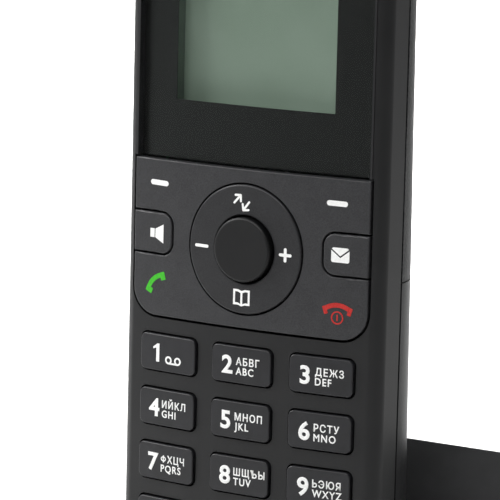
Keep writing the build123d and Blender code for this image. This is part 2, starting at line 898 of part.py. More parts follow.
# The sockets, their mouths flush with the inside of the back wall
socket_back = base_half_depth - base_wall - 0.9
with BuildPart() as line_socket:
    with Locations((line_x, socket_back, board_high)):
        Box(12.5, 12, 9, align=(Align.CENTER, Align.MAX, Align.MIN))
    with Locations((line_x, socket_back, socket_height)):
        Box(socket_width, 10, socket_rise, align=(Align.CENTER, Align.MAX, Align.CENTER),
            mode=Mode.SUBTRACT)
    with Locations((line_x, socket_back, socket_height - socket_rise / 2 - 0.5)):
        Box(3, 10, 2, align=(Align.CENTER, Align.MAX, Align.CENTER), mode=Mode.SUBTRACT)
save(line_socket, "line_socket")

# four sprung wires under the line socket's roof
with BuildPart() as contact_wire:
    with BuildSketch(Plane.YZ.offset(line_x)):
        Polygon(
            (socket_back - 1.2, socket_height + socket_rise / 2 - 0.02),
            (socket_back - 8.0, socket_height + 0.6),
            (socket_back - 8.4, socket_height + 0.6),
            (socket_back - 1.8, socket_height + socket_rise / 2 - 0.02),
            align=None,
        )
    extrude(amount=0.25, both=True)

with BuildPart() as line_contacts:
    with GridLocations(1.27, 1, 4, 1):
        add(contact_wire.part)
save(line_contacts, "line_contacts")

with BuildPart() as power_socket:
    with Locations((-line_x, socket_back, board_high)):
        Box(9, 12, 9, align=(Align.CENTER, Align.MAX, Align.MIN))
    with BuildSketch(Plane.XZ.offset(-socket_back)):
        with Locations((-line_x, socket_height)):
            Circle(power_radius)
    extrude(amount=10, mode=Mode.SUBTRACT)
save(power_socket, "power_socket")

with BuildPart() as power_pin:
    with BuildSketch(Plane.XZ.offset(-socket_back + 10)):
        with Locations((-line_x, socket_height)):
            Circle(1.05)
    extrude(amount=-8.5)
    fillet(power_pin.faces().sort_by(Axis.Y)[-1].edges(), 0.4)
save(power_pin, "power_pin")

# Sprung contacts in the pocket's floor
for side, name in ((-1, "charge_contact_left"), (1, "charge_contact_right")):
    with BuildPart() as charge_contact:
        with BuildSketch(Plane.XY.offset(bottom_end + 0.35)):
            with Locations((side * charge_x, charge_y)):
                Rectangle(3.8, 2.2)
        extrude(amount=-contact_length)
        fillet(charge_contact.edges().group_by(Axis.Z)[-1].filter_by(Axis.X), 1.0)
    save(charge_contact, name, dock)

# Button that makes the handset ring, and its switch
with BuildPart() as page_button:
    with BuildSketch(Plane.XY.offset(foot_z - base_wall - 0.1)):
        with Locations(page_spot):
            Circle(page_radius)
    extrude(amount=base_wall + 0.1 + page_proud)
    fillet(page_button.edges().group_by(Axis.Z)[-1], 0.6)
    with BuildSketch(Plane.XY.offset(foot_z - base_wall - 1.2)):
        with Locations(page_spot):
            Circle(page_radius + 1)
    extrude(amount=1.1)
    with BuildSketch(Plane.XY.offset(switch_top + 1.0)):
        with Locations(page_spot):
            Circle(1.5)
    extrude(amount=foot_z - base_wall - 1.0 - switch_top - 1.0)
save(page_button, "page_button")

with BuildPart() as page_switch:
    with BuildSketch(Plane.XY.offset(board_high)):
        with Locations(page_spot):
            Rectangle(6, 6)
    extrude(amount=3.5)
    with BuildSketch(Plane.XY.offset(board_high + 3.5)):
        with Locations(page_spot):
            Circle(1.7)
    extrude(amount=switch_top - board_high - 3.5)
save(page_switch, "page_switch")
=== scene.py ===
import json
import math
import bmesh
import bpy
from mathutils import Matrix, Vector
from mathutils.bvhtree import BVHTree


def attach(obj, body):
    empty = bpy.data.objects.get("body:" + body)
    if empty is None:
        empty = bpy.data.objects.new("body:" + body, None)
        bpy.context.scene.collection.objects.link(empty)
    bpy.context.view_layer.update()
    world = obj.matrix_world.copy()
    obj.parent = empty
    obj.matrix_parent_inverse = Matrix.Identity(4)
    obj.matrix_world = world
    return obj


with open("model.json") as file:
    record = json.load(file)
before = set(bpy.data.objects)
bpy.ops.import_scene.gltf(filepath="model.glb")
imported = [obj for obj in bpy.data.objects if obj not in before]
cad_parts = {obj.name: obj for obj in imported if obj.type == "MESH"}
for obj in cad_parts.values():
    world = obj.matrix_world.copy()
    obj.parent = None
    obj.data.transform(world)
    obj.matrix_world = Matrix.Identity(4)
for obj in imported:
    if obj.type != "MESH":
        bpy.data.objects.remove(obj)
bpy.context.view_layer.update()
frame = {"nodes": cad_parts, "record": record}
nodes = frame["nodes"]
behaviour = frame["record"]["behaviour"]
mm = 0.001


def jointNamed(name):
    return next(j for j in behaviour["joints"] if j["name"] == name)


# The handset's own frame: x across, y into the phone, z up along it, in mm from the ring's centre
handset = {
    "up": Vector(jointNamed("handset_lift")["axis"]),
    "pivot": Vector(jointNamed("plate_tilt")["pos_m"]),
    "pivotDepth": 4.4,  # mm from the face to the frames that the plate and the ring rock on
}
across = Vector((1, 0, 0))
inward = handset["up"].cross(across)
faceCentre = handset["pivot"] - inward * handset["pivotDepth"] * mm
toWorld = Matrix.Translation(faceCentre) @ Matrix((across, inward, handset["up"])).transposed().to_4x4()
toHandset = toWorld.inverted()


def localBox(node):
    # lowest and highest corner of a node in the handset's frame, in mm
    points = [toHandset @ v.co / mm for v in nodes[node].data.vertices]
    return [[pick(p[i] for p in points) for i in range(3)] for pick in (min, max)]


def hexToLinear(code, alpha=1.0):
    parts = [int(code[i:i + 2], 16) / 255 for i in (1, 3, 5)]
    return [c / 12.92 if c <= 0.04045 else ((c + 0.055) / 1.055) ** 2.4 for c in parts] + [alpha]


def addNode(tree, kind, settings=None, links=None):
    # one shader node, with its socket values and what feeds them
    node = tree.nodes.new(kind)
    for key, value in (settings or {}).items():
        if isinstance(key, int) or key in node.inputs:
            node.inputs[key].default_value = value
        else:
            setattr(node, key, value)
    for key, source in (links or {}).items():
        tree.links.new(source, node.inputs[key])
    return node


def newMaterial(name):
    material = bpy.data.materials.new(name)
    material.use_nodes = True
    material.node_tree.nodes.clear()
    return material, material.node_tree


def finishMaterial(material, tree, shader):
    addNode(tree, "ShaderNodeOutputMaterial", links={"Surface": shader})
    return material


def objectSpace(tree):
    return addNode(tree, "ShaderNodeTexCoord").outputs["Object"]


def grainNoise(tree, grainMm, detail=2.0):
    # noise whose blotches are about grainMm across
    return addNode(tree, "ShaderNodeTexNoise", {"Scale": 1 / (grainMm * mm), "Detail": detail},
                   {"Vector": objectSpace(tree)}).outputs["Fac"]


def tintBetween(tree, factor, darkHex, lightHex, low=0.35, high=0.65):
    ramp = addNode(tree, "ShaderNodeValToRGB", links={"Fac": factor})
    ramp.color_ramp.elements[0].position = low
    ramp.color_ramp.elements[0].color = hexToLinear(darkHex)
    ramp.color_ramp.elements[1].position = high
    ramp.color_ramp.elements[1].color = hexToLinear(lightHex)
    return ramp.outputs["Color"]


def roughBetween(tree, factor, low, high):
    return addNode(tree, "ShaderNodeMapRange", {"To Min": low, "To Max": high},
                   {"Value": factor}).outputs["Result"]


def bumpFrom(tree, height, depthMm):
    return addNode(tree, "ShaderNodeBump", {"Strength": 1.0, "Distance": depthMm * mm},
                   {"Height": height}).outputs["Normal"]


def satinAbs(name, look):
    # injection-moulded ABS off a finely etched tool: an even satin black, broad soft highlights
    material, tree = newMaterial(name)
    etch = grainNoise(tree, look["etchMm"])
    cloud = grainNoise(tree, look["cloudMm"])
    shader = addNode(tree, "ShaderNodeBsdfPrincipled", {
        "IOR": 1.54, "Specular IOR Level": look["specular"]}, {
        "Base Color": tintBetween(tree, cloud, look["dark"], look["light"]),
        "Roughness": roughBetween(tree, etch, look["roughLow"], look["roughHigh"]),
        "Normal": bumpFrom(tree, etch, look["etchDepthMm"]),
    })
    return finishMaterial(material, tree, shader.outputs["BSDF"])


def sparkAbs(name, look):
    # ABS off a spark-eroded tool: small rounded pits, with grey specks painted into the base colour
    # as highlights where light would graze them; the pits are drawn about twice as coarse as real ones so
    # that they show
    material, tree = newMaterial(name)
    pits = grainNoise(tree, look["pitMm"], 3.0)
    cloud = grainNoise(tree, look["cloudMm"])
    drift = addNode(tree, "ShaderNodeMath", {"operation": "MULTIPLY", 1: 0.25}, {0: cloud}).outputs[0]
    # painted highlight: the pits lighten the base colour as if light grazed them; the drift adds a random
    # tone
    paintedGlintAndDrift = addNode(tree, "ShaderNodeMath", {"operation": "MULTIPLY_ADD", 1: 0.75},
                    {0: pits, 2: drift}).outputs[0]
    shader = addNode(tree, "ShaderNodeBsdfPrincipled", {
        "IOR": 1.54, "Specular IOR Level": look["specular"]}, {
        "Base Color": tintBetween(tree, paintedGlintAndDrift, look["dark"], look["light"], 0.4, 0.62),
        "Roughness": roughBetween(tree, pits, look["roughLow"], look["roughHigh"]),
        "Normal": bumpFrom(tree, pits, look["pitDepthMm"]),
    })
    return finishMaterial(material, tree, shader.outputs["BSDF"])


def glossAbs(name, look):
    # ABS off a polished tool: mirror-like, with a trace of flow waviness and handling haze
    material, tree = newMaterial(name)
    wave = grainNoise(tree, look["waveMm"], 1.0)
    haze = grainNoise(tree, look["hazeMm"], 4.0)
    shader = addNode(tree, "ShaderNodeBsdfPrincipled", {"IOR": 1.54}, {
        "Base Color": tintBetween(tree, haze, look["dark"], look["light"]),
        "Roughness": roughBetween(tree, haze, look["roughLow"], look["roughHigh"]),
        "Normal": bumpFrom(tree, wave, look["waveDepthMm"]),
    })
    return finishMaterial(material, tree, shader.outputs["BSDF"])


def flakePaint(name, look):
    # dark grey paint with fine flake, sprayed on the caps: a faint glitter of lighter grains;
    # the flake is drawn coarser than its real 0.05 mm so that it shows
    material, tree = newMaterial(name)
    flake = grainNoise(tree, look["flakeMm"], 3.0)
    cloud = grainNoise(tree, look["cloudMm"], 1.0)
    drift = addNode(tree, "ShaderNodeMath", {"operation": "MULTIPLY", 1: 0.2}, {0: cloud}).outputs[0]
    mixed = addNode(tree, "ShaderNodeMath", {"operation": "MULTIPLY_ADD", 1: 0.8},
                    {0: flake, 2: drift}).outputs[0]
    shader = addNode(tree, "ShaderNodeBsdfPrincipled", {"IOR": 1.5, "Metallic": look["metallic"]}, {
        "Base Color": tintBetween(tree, mixed, look["dark"], look["light"]),
        "Roughness": roughBetween(tree, flake, look["roughLow"], look["roughHigh"]),
        "Normal": bumpFrom(tree, flake, look["flakeDepthMm"]),
    })
    return finishMaterial(material, tree, shader.outputs["BSDF"])


def clearAcrylic(name, look):
    # clear PMMA: see-through, with a faint sheen at its outer face; the print behind carries the rest
    material, tree = newMaterial(name)
    haze = grainNoise(tree, look["hazeMm"], 3.0)
    clear = addNode(tree, "ShaderNodeBsdfTransparent", {"Color": hexToLinear(look["tint"])})
    mirror = addNode(tree, "ShaderNodeBsdfGlossy", {"Color": (1, 1, 1, 1)},
                     {"Roughness": roughBetween(tree, haze, look["roughLow"], look["roughHigh"])})
    facing = addNode(tree, "ShaderNodeFresnel", {"IOR": 1.49})
    inside = addNode(tree, "ShaderNodeNewGeometry").outputs["Backfacing"]
    outer = addNode(tree, "ShaderNodeMath", {
        "operation": "MULTIPLY_ADD", 1: -look["sheen"], 2: look["sheen"]}, {0: inside})
    share = addNode(tree, "ShaderNodeMath", {"operation": "MULTIPLY"},
                    {0: facing.outputs["Fac"], 1: outer.outputs[0]})
    mix = addNode(tree, "ShaderNodeMixShader", links={
        0: share.outputs[0], 1: clear.outputs["BSDF"], 2: mirror.outputs["BSDF"]})
    return finishMaterial(material, tree, mix.outputs["Shader"])


def printedFilm(name, look):
    # screen-printed ink bonded behind the lens: dense black with a faint dot grain and the lens's gloss
    material, tree = newMaterial(name)
    dots = grainNoise(tree, look["dotMm"])
    shader = addNode(tree, "ShaderNodeBsdfPrincipled", {"IOR": 1.49}, {
        "Base Color": tintBetween(tree, dots, look["dark"], look["light"]),
        "Roughness": roughBetween(tree, dots, look["roughLow"], look["roughHigh"]),
    })
    return finishMaterial(material, tree, shader.outputs["BSDF"])


def lcdPane(name, look):
    # reflective liquid crystal: a grey-green polariser under glass, its cell grid only just there
    material, tree = newMaterial(name)
    apart = addNode(tree, "ShaderNodeSeparateXYZ", links={0: objectSpace(tree)})
    flat = addNode(tree, "ShaderNodeCombineXYZ", links={"X": apart.outputs["X"], "Y": apart.outputs["Z"]})
    grid = addNode(tree, "ShaderNodeTexBrick", {
        "Scale": 0.5 / (look["cellMm"] * mm), "Mortar Size": 0.02, "Color1": hexToLinear(look["light"]),
        "Color2": hexToLinear(look["light"]), "Mortar": hexToLinear(look["dark"]), "offset": 0.0,
        "Brick Width": 0.5, "Row Height": 0.5}, {"Vector": flat.outputs[0]}).outputs["Color"]
    blotch = grainNoise(tree, look["blotchMm"], 1.0)
    tone = addNode(tree, "ShaderNodeMix", {"data_type": "RGBA", "blend_type": "MULTIPLY", "Factor": 1.0},
                   {6: grid, 7: tintBetween(tree, blotch, look["shade"], "#ffffff")})
    shader = addNode(tree, "ShaderNodeBsdfPrincipled", {"IOR": 1.5, "Specular IOR Level": 0.25}, {
        "Base Color": tone.outputs[2],
        "Roughness": roughBetween(tree, blotch, 0.45, 0.55),
    })
    return finishMaterial(material, tree, shader.outputs["BSDF"])


def printInk(name, look):
    # pad-printed legend ink: dense and matt, its film slightly uneven
    material, tree = newMaterial(name)
    film = grainNoise(tree, look["filmMm"])
    shader = addNode(tree, "ShaderNodeBsdfPrincipled", {"IOR": 1.45}, {
        "Base Color": tintBetween(tree, film, look["dark"], look["light"]),
        "Roughness": roughBetween(tree, film, 0.45, 0.6),
        "Normal": bumpFrom(tree, film, 0.004),
    })
    return finishMaterial(material, tree, shader.outputs["BSDF"])


def platedMetal(name, look):
    # plated or bare sheet metal: rolled grain one way, small scratches
    material, tree = newMaterial(name)
    stretched = addNode(tree, "ShaderNodeMapping", {"Scale": (1.0, 8.0, 8.0)},
                        {"Vector": objectSpace(tree)}).outputs["Vector"]
    roll = addNode(tree, "ShaderNodeTexNoise", {"Scale": 1 / (look["grainMm"] * mm), "Detail": 3.0},
                   {"Vector": stretched}).outputs["Fac"]
    shader = addNode(tree, "ShaderNodeBsdfPrincipled", {"Metallic": 1.0}, {
        "Base Color": tintBetween(tree, roll, look["dark"], look["light"]),
        "Roughness": roughBetween(tree, roll, look["roughLow"], look["roughHigh"]),
        "Normal": bumpFrom(tree, roll, 0.01),
    })
    return finishMaterial(material, tree, shader.outputs["BSDF"])


def softRubber(name, look):
    # moulded rubber or silicone: matt, faintly dusty
    material, tree = newMaterial(name)
    dust = grainNoise(tree, look["dustMm"], 4.0)
    shader = addNode(tree, "ShaderNodeBsdfPrincipled", {"IOR": 1.5, "Sheen Weight": 0.15}, {
        "Base Color": tintBetween(tree, dust, look["dark"], look["light"]),
        "Roughness": roughBetween(tree, dust, 0.7, 0.9),
        "Normal": bumpFrom(tree, dust, 0.02),
    })
    return finishMaterial(material, tree, shader.outputs["BSDF"])


def solderMask(name, look):
    # glass-fibre board under green solder mask, the weave just showing
    material, tree = newMaterial(name)
    weave = addNode(tree, "ShaderNodeTexChecker", {
        "Scale": 1 / (look["weaveMm"] * mm), "Color1": hexToLinear(look["dark"]),
        "Color2": hexToLinear(look["light"])}, {"Vector": objectSpace(tree)})
    shader = addNode(tree, "ShaderNodeBsdfPrincipled", {"IOR": 1.5, "Roughness": 0.35}, {
        "Base Color": weave.outputs["Color"],
        "Normal": bumpFrom(tree, weave.outputs["Fac"], 0.02),
    })
    return finishMaterial(material, tree, shader.outputs["BSDF"])


def wovenCloth(name, look):
    # acoustic cloth: a fine square weave
    material, tree = newMaterial(name)
    weave = addNode(tree, "ShaderNodeTexChecker", {
        "Scale": 1 / (look["threadMm"] * mm), "Color1": hexToLinear(look["dark"]),
        "Color2": hexToLinear(look["light"])}, {"Vector": objectSpace(tree)})
    shader = addNode(tree, "ShaderNodeBsdfPrincipled", {"Roughness": 0.9}, {
        "Base Color": weave.outputs["Color"],
        "Normal": bumpFrom(tree, weave.outputs["Fac"], 0.05),
    })
    return finishMaterial(material, tree, shader.outputs["BSDF"])


finishes = {
    "shellAbs": satinAbs("satinBlackAbs", {
        "dark": "#131314", "light": "#181819", "specular": 0.4, "etchMm": 0.22, "etchDepthMm": 0.012,
        "cloudMm": 9.0, "roughLow": 0.36, "roughHigh": 0.48}),
    # its light grey is a painted highlight on the pits
    "backAbs": sparkAbs("sparkErodedAbs", {
        "dark": "#1b1b1c", "light": "#3a3a3b", "specular": 0.35, "pitMm": 0.45, "pitDepthMm": 0.08,
        "cloudMm": 7.0, "roughLow": 0.42, "roughHigh": 0.6}),
    "doorAbs": satinAbs("satinDoorAbs", {
        "dark": "#252526", "light": "#2b2b2c", "specular": 0.25, "etchMm": 0.3, "etchDepthMm": 0.02,
        "cloudMm": 9.0, "roughLow": 0.36, "roughHigh": 0.5}),
    "keyAbs": satinAbs("satinKeyAbs", {
        "dark": "#1e1e20", "light": "#232326", "specular": 0.42, "etchMm": 0.2, "etchDepthMm": 0.008,
        "cloudMm": 3.0, "roughLow": 0.34, "roughHigh": 0.44}),
    "platePaint": flakePaint("darkFlakePaint", {
        "dark": "#28282a", "light": "#38383a", "flakeMm": 0.2, "flakeDepthMm": 0.006, "cloudMm": 2.4,
        "metallic": 0.1, "roughLow": 0.38, "roughHigh": 0.5}),
    "ringPaint": flakePaint("darkRingPaint", {
        "dark": "#1d1d1f", "light": "#2b2b2d", "flakeMm": 0.2, "flakeDepthMm": 0.006, "cloudMm": 2.4,
        "metallic": 0.1, "roughLow": 0.4, "roughHigh": 0.5}),
    "okAbs": satinAbs("smoothBlackAbs", {
        "dark": "#08080a", "light": "#0c0c0d", "specular": 0.36, "etchMm": 0.25, "etchDepthMm": 0.006,
        "cloudMm": 4.0, "roughLow": 0.44, "roughHigh": 0.52}),
    "baseAbs": glossAbs("polishedBlackAbs", {
        "dark": "#4c4c4d", "light": "#515152", "waveMm": 14.0, "waveDepthMm": 0.03, "hazeMm": 5.0,
        "roughLow": 0.2, "roughHigh": 0.27}),
    "coverAbs": satinAbs("mattUndersideAbs", {
        "dark": "#1f1f20", "light": "#262627", "specular": 0.4, "etchMm": 0.6, "etchDepthMm": 0.06,
        "cloudMm": 8.0, "roughLow": 0.5, "roughHigh": 0.65}),
    "trimPaint": flakePaint("darkTrimPaint", {
        "dark": "#2a2a2b", "light": "#343435", "flakeMm": 0.15, "flakeDepthMm": 0.004, "cloudMm": 1.8,
        "metallic": 0.3, "roughLow": 0.25, "roughHigh": 0.35}),
    "lens": clearAcrylic("clearAcrylic", {
        "tint": "#f7f9f8", "sheen": 0.15, "hazeMm": 6.0, "roughLow": 0.24, "roughHigh": 0.3}),
    "guide": clearAcrylic("frostedAcrylic", {
        "tint": "#dfe6e0", "sheen": 0.3, "hazeMm": 1.0, "roughLow": 0.2, "roughHigh": 0.4}),
    "mask": printedFilm("blackPrintedFilm", {
        "dark": "#131313", "light": "#161616", "dotMm": 0.15, "roughLow": 0.26, "roughHigh": 0.3}),
    "lcd": lcdPane("reflectiveLcd", {
        "light": "#8a978b", "dark": "#828f83", "shade": "#eef1ee", "cellMm": 0.3, "blotchMm": 14.0}),
    "wellAbs": satinAbs("greyWellAbs", {
        "dark": "#5b665d", "light": "#667168", "specular": 0.4, "etchMm": 0.3, "etchDepthMm": 0.01,
        "cloudMm": 5.0, "roughLow": 0.45, "roughHigh": 0.6}),
    "whiteInk": printInk("whiteLegendInk", {"dark": "#f4f4f2", "light": "#fdfdfb", "filmMm": 0.3}),
    "greenInk": printInk("greenLegendInk", {"dark": "#36ad1c", "light": "#41bd25", "filmMm": 0.3}),
    "redInk": printInk("redLegendInk", {"dark": "#b4211c", "light": "#c22b25", "filmMm": 0.3}),
    "nickel": platedMetal("nickelPlate", {
        "dark": "#b8b4aa", "light": "#cfccc2", "grainMm": 0.6, "roughLow": 0.18, "roughHigh": 0.32}),
    "zinc": platedMetal("zincPlatedSteel", {
        "dark": "#85868a", "light": "#a3a4a8", "grainMm": 0.4, "roughLow": 0.3, "roughHigh": 0.45}),
    "tinned": platedMetal("tinnedSteel", {
        "dark": "#a6a7a6", "light": "#c2c3c1", "grainMm": 1.2, "roughLow": 0.25, "roughHigh": 0.4}),
    "brass": platedMetal("stampedBrass", {
        "dark": "#b08a3c", "light": "#cfa858", "grainMm": 0.6, "roughLow": 0.22, "roughHigh": 0.35}),
    "rubber": softRubber("blackRubber", {"dark": "#1b1b1b", "light": "#262626", "dustMm": 0.8}),
    "silicone": softRubber("greySilicone", {"dark": "#2c2c2c", "light": "#363636", "dustMm": 0.8}),
    "board": solderMask("greenSolderMask", {"dark": "#15502e", "light": "#1a5c36", "weaveMm": 0.6}),
    "acetal": satinAbs("blackAcetal", {
        "dark": "#1c1c1d", "light": "#222223", "specular": 0.5, "etchMm": 0.4, "etchDepthMm": 0.01,
        "cloudMm": 4.0, "roughLow": 0.35, "roughHigh": 0.45}),
    "cloth": wovenCloth("blackAcousticCloth", {"dark": "#0a0a0a", "light": "#202020", "threadMm": 0.25}),
    "cellSleeve": glossAbs("greenCellSleeve", {
        "dark": "#2f6e33", "light": "#37803c", "waveMm": 6.0, "waveDepthMm": 0.02, "hazeMm": 2.0,
        "roughLow": 0.2, "roughHigh": 0.3}),
}

# which finish each CAD node gets; the number keys aren't listed and get keyAbs
nodeFinish = {
    "front_shell": "shellAbs", "back_shell": "backAbs", "battery_door": "doorAbs",
    "panel_trim": "trimPaint", "display_lens": "lens", "display_mask": "mask", "lcd_frame": "wellAbs",
    "lcd_glass": "lcd", "light_guide": "guide", "function_plate": "platePaint", "nav_ring": "ringPaint",
    "speaker_key": "platePaint", "message_key": "platePaint", "ok_button": "okAbs",
    "key_mat": "silicone", "plate_rocker": "acetal", "ring_rocker": "acetal",
    "handset_board": "board", "handset_shield": "tinned", "handset_antenna": "brass",
    "receiver_mesh": "cloth", "receiver": "tinned", "ringer_speaker": "okAbs", "microphone": "tinned",
    "cell_left": "cellSleeve", "cell_right": "cellSleeve", "cell_contacts": "nickel",
    "charge_plates": "nickel", "handset_screws": "zinc",
    "base_housing": "baseAbs", "base_cover": "coverAbs", "rubber_feet": "rubber", "base_screws": "zinc",
    "base_board": "board", "base_shield": "tinned", "base_antenna": "brass", "line_socket": "okAbs",
    "line_contacts": "brass", "power_socket": "okAbs", "power_pin": "nickel", "page_button": "keyAbs",
    "page_switch": "okAbs", "charge_contact_left": "nickel", "charge_contact_right": "nickel",
}
for name, node in nodes.items():
    finish = finishes[nodeFinish.get(name, "keyAbs")]
    if not node.material_slots:
        node.data.materials.append(finish)
    for place in node.material_slots:
        place.material = finish
print("stage: finishes on", len(nodes), "nodes")

# Printed legends: flat shapes laid on a cap, with the ink film's thickness
ink = {"film": 0.04, "sunk": 0.02, "castFrom": -8.0}  # mm: above and below the cap, and where rays start
caps = {}


def capSurface(node):
    if node not in caps:
        mesh = nodes[node].data
        points = [toHandset @ v.co / mm for v in mesh.vertices]
        caps[node] = BVHTree.FromPolygons(points, [list(p.vertices) for p in mesh.polygons])
    return caps[node]


def bodyOf(node):
    return next(name for name, held in behaviour["bodies"].items() if node in held)


def flatMesh(curve):
    # a filled curve as a mesh with a front and a back
    curve.dimensions = "2D"
    curve.fill_mode = "BOTH"
    curve.resolution_u = 4
    curve.extrude = 0.01
    holder = bpy.data.objects.new("outline", curve)
    bpy.context.scene.collection.objects.link(holder)
    bpy.context.view_layer.update()
    mesh = bpy.data.meshes.new_from_object(holder.evaluated_get(bpy.context.evaluated_depsgraph_get()))
    bpy.data.objects.remove(holder)
    return mesh


def layOnCap(shapes, name, node, finish, centre):
    # joins flat meshes, drawn in mm round 0,0, into one print on a cap
    inkMesh = bmesh.new()
    for shape in shapes:
        inkMesh.from_mesh(shape)
    surface = capSurface(node)
    for vertex in inkMesh.verts:
        x = vertex.co.x + centre[0]
        z = vertex.co.y + centre[1]
        hit = surface.ray_cast(Vector((x, ink["castFrom"], z)), Vector((0, 1, 0)))[0]
        depth = hit.y if hit else 0.0
        out = ink["film"] if vertex.co.z > 0 else -ink["sunk"]
        vertex.co = toWorld @ (Vector((x, depth - out, z)) * mm)
    bmesh.ops.recalc_face_normals(inkMesh, faces=inkMesh.faces)
    mesh = bpy.data.meshes.new(name)
    inkMesh.to_mesh(mesh)
    inkMesh.free()
    mesh.materials.append(finishes[finish])
    for face in mesh.polygons:
        face.material_index = 0
    piece = bpy.data.objects.new(name, mesh)
    bpy.context.scene.collection.objects.link(piece)
    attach(piece, bodyOf(node))
    return piece


def shapeFrom(*outlines):
    # closed outlines; one inside another is a hole
    curve = bpy.data.curves.new("outline", "CURVE")
    for points in outlines:
        spline = curve.splines.new("POLY")
        spline.points.add(len(points) - 1)
        for target, (x, y) in zip(spline.points, points):
            target.co = (x, y, 0, 1)
        spline.use_cyclic_u = True
    return flatMesh(curve)


def wordShape(words, height, share, weight, left, middle, spacing=1.0):
    # words whose capitals are height mm tall, weight mm of it bold edging; share narrows them
    capShare = 0.69  # of the built-in face's size
    curve = bpy.data.curves.new("words", "FONT")
    curve.body = words
    curve.size = (height - 2 * weight) / capShare
    curve.bevel_depth = weight
    curve.bevel_resolution = 0
    curve.space_character = spacing
    mesh = flatMesh(curve)
    start = min(v.co.x for v in mesh.vertices)
    for vertex in mesh.vertices:
        vertex.co.x = (vertex.co.x - start) * share + left
        vertex.co.y += middle - height / 2 + weight
    return mesh


def turned(points, degreesTurn, centre=(0, 0)):
    c, s = math.cos(math.radians(degreesTurn)), math.sin(math.radians(degreesTurn))
    return [(x * c - y * s + centre[0], x * s + y * c + centre[1]) for x, y in points]


def arc(centre, radius, start, end, steps=16):
    angles = [math.radians(start + (end - start) * i / steps) for i in range(steps + 1)]
    return [(centre[0] + radius * math.cos(a), centre[1] + radius * math.sin(a)) for a in angles]


def bar(start, end, width):
    # a straight stroke with round ends
    (x0, y0), (x1, y1) = start, end
    half = math.hypot(x1 - x0, y1 - y0) / 2
    points = arc((half, 0), width / 2, -90, 90, 8) + arc((-half, 0), width / 2, 90, 270, 8)
    return turned(points, math.degrees(math.atan2(y1 - y0, x1 - x0)), ((x0 + x1) / 2, (y0 + y1) / 2))


def band(points, width):
    # an open path given a width
    left, right = [], []
    for i, (x, y) in enumerate(points):
        x0, y0 = points[max(i - 1, 0)]
        x1, y1 = points[min(i + 1, len(points) - 1)]
        length = math.hypot(x1 - x0, y1 - y0)
        nx, ny = -(y1 - y0) / length * width / 2, (x1 - x0) / length * width / 2
        left.append((x + nx, y + ny))
        right.append((x - nx, y - ny))
    return left + right[::-1]


def roundBox(width, height, radius, centre=(0, 0)):
    corners = ((1, 1, 0), (-1, 1, 90), (-1, -1, 180), (1, -1, 270))
    points = []
    for sx, sy, start in corners:
        middle = (centre[0] + sx * (width / 2 - radius), centre[1] + sy * (height / 2 - radius))
        points += arc(middle, radius, start, start + 90, 5)
    return points


keyPrint = {
    "digitHeight": 3.0, "digitShare": 1.05, "digitWeight": 0.11, "digitLeft": -3.55, "digitMiddle": -0.05,
    "letterHeight": 1.22, "letterShare": 0.92, "letterWeight": 0.03, "letterLeft": -0.88,
    "upperMiddle": 0.62, "lowerMiddle": -0.95, "letterSpacing": 1.2,
    "words": {
        "key_2": ("2", "АБВГ", "ABC"), "key_3": ("3", "ДЕЖЗ", "DEF"), "key_4": ("4", "ИЙКЛ", "GHI"),
        "key_5": ("5", "МНОП", "JKL"), "key_6": ("6", "РСТУ", "MNO"), "key_7": ("7", "ХЦЧ", "PQRS"),
        "key_8": ("8", "ШЩЪЫ", "TUV"), "key_9": ("9", "ЬЭЮЯ", "WXYZ"), "key_0": ("0", "+", ""),
    },
}


def keyCentre(node):
    low, high = localBox(node)
    return (low[0] + high[0]) / 2, (low[2] + high[2]) / 2


def digitShape(digit):
    look = keyPrint
    return wordShape(digit, look["digitHeight"], look["digitShare"], look["digitWeight"], look["digitLeft"],
                     look["digitMiddle"])


def letterShape(words, middle, start=0.0):
    look = keyPrint
    return wordShape(words, look["letterHeight"], look["letterShare"], look["letterWeight"],
                     look["letterLeft"] + start, middle, look["letterSpacing"])


ringedLetter = {"reach": 0.42, "rise": 0.34, "line": 0.19, "advance": 1.28}


def ringedLetterShapes(look):
    x, y = keyPrint["letterLeft"] + look["reach"] + look["line"] / 2, keyPrint["upperMiddle"]
    rims = [[(x + (look["reach"] + s * look["line"] / 2) * c, y + (look["rise"] + s * look["line"] / 2) * d)
             for c, d in arc((0, 0), 1, 0, 360, 24)[:-1]] for s in (1, -1)]
    tall = keyPrint["letterHeight"] / 2 - look["line"] / 2
    return [shapeFrom(*rims), shapeFrom(bar((x, y - tall), (x, y + tall), look["line"]))]


for node, (digit, upper, lower) in keyPrint["words"].items():
    ringed = node == "key_7"  # its first letter is drawn as a ring and a bar
    start = ringedLetter["advance"] if ringed else 0.0
    shapes = [digitShape(digit), letterShape(upper, keyPrint["upperMiddle"], start)]
    if ringed:
        shapes += ringedLetterShapes(ringedLetter)
    if lower:
        shapes.append(letterShape(lower, keyPrint["lowerMiddle"]))
    layOnCap(shapes, node + "_legend", node, "whiteInk", keyCentre(node))

one = {"stroke": 0.62, "centre": -1.95, "flag": 0.95, "flagTop": 0.62, "flagFoot": 0.95, "nick": 0.682}


def oneShape(look):
    # a figure 1 drawn by hand: a stem with a slanting flag and no foot
    x, half, side = look["centre"], keyPrint["digitHeight"] / 2, look["stroke"] / 2
    return shapeFrom([
        (x + side, half), (x + side, -half), (x - side, -half), (x - side, half - look["nick"]),
        (x - look["flag"], half - look["flagFoot"]), (x - look["flag"], half - look["flagTop"]),
        (x - 0.1, half),
    ])


voicemail = {"reach": 0.92, "loop": 0.52, "line": 0.3, "centre": (1.18, -1.0)}


def voicemailShapes(look):
    # two reels side by side, joined along their feet
    shapes = []
    x, y = look["centre"]
    for side in (-1, 1):
        spot = (x + side * look["reach"], y)
        shapes.append(shapeFrom(arc(spot, look["loop"] + look["line"] / 2, 0, 360, 24)[:-1],
                                arc(spot, look["loop"] - look["line"] / 2, 0, 360, 24)[:-1]))
    foot = y - look["loop"]
    shapes.append(shapeFrom(bar((x - look["reach"], foot), (x + look["reach"], foot), look["line"])))
    return shapes


